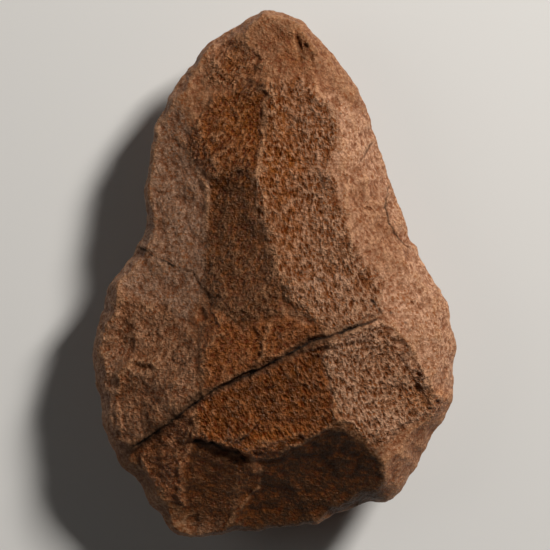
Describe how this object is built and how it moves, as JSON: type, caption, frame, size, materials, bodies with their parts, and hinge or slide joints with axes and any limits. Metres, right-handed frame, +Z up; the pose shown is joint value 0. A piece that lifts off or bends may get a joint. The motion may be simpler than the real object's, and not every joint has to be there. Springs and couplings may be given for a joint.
{
  "type": "stone hand axe",
  "caption": "Pear-shaped flaked stone hand tool with a worn edge all round, a blunt tip and a thick butt, lying on its back.",
  "frame": {"origin": "centre of the bounding box seen from above, at the level of the flat that the stone rests on", "axes": "+Y toward the tip, +Z up from the resting flat toward the face with the large scars, +X to the right when the tip points away"},
  "size_m": [0.1214, 0.1758, 0.0544],
  "materials": {
    "stone": "grainy brown quartzite, worn and slightly glossy on the ridges"
  },
  "bodies": {
    "root": {"hand_axe": "stone"}
  },
  "joints": []
}
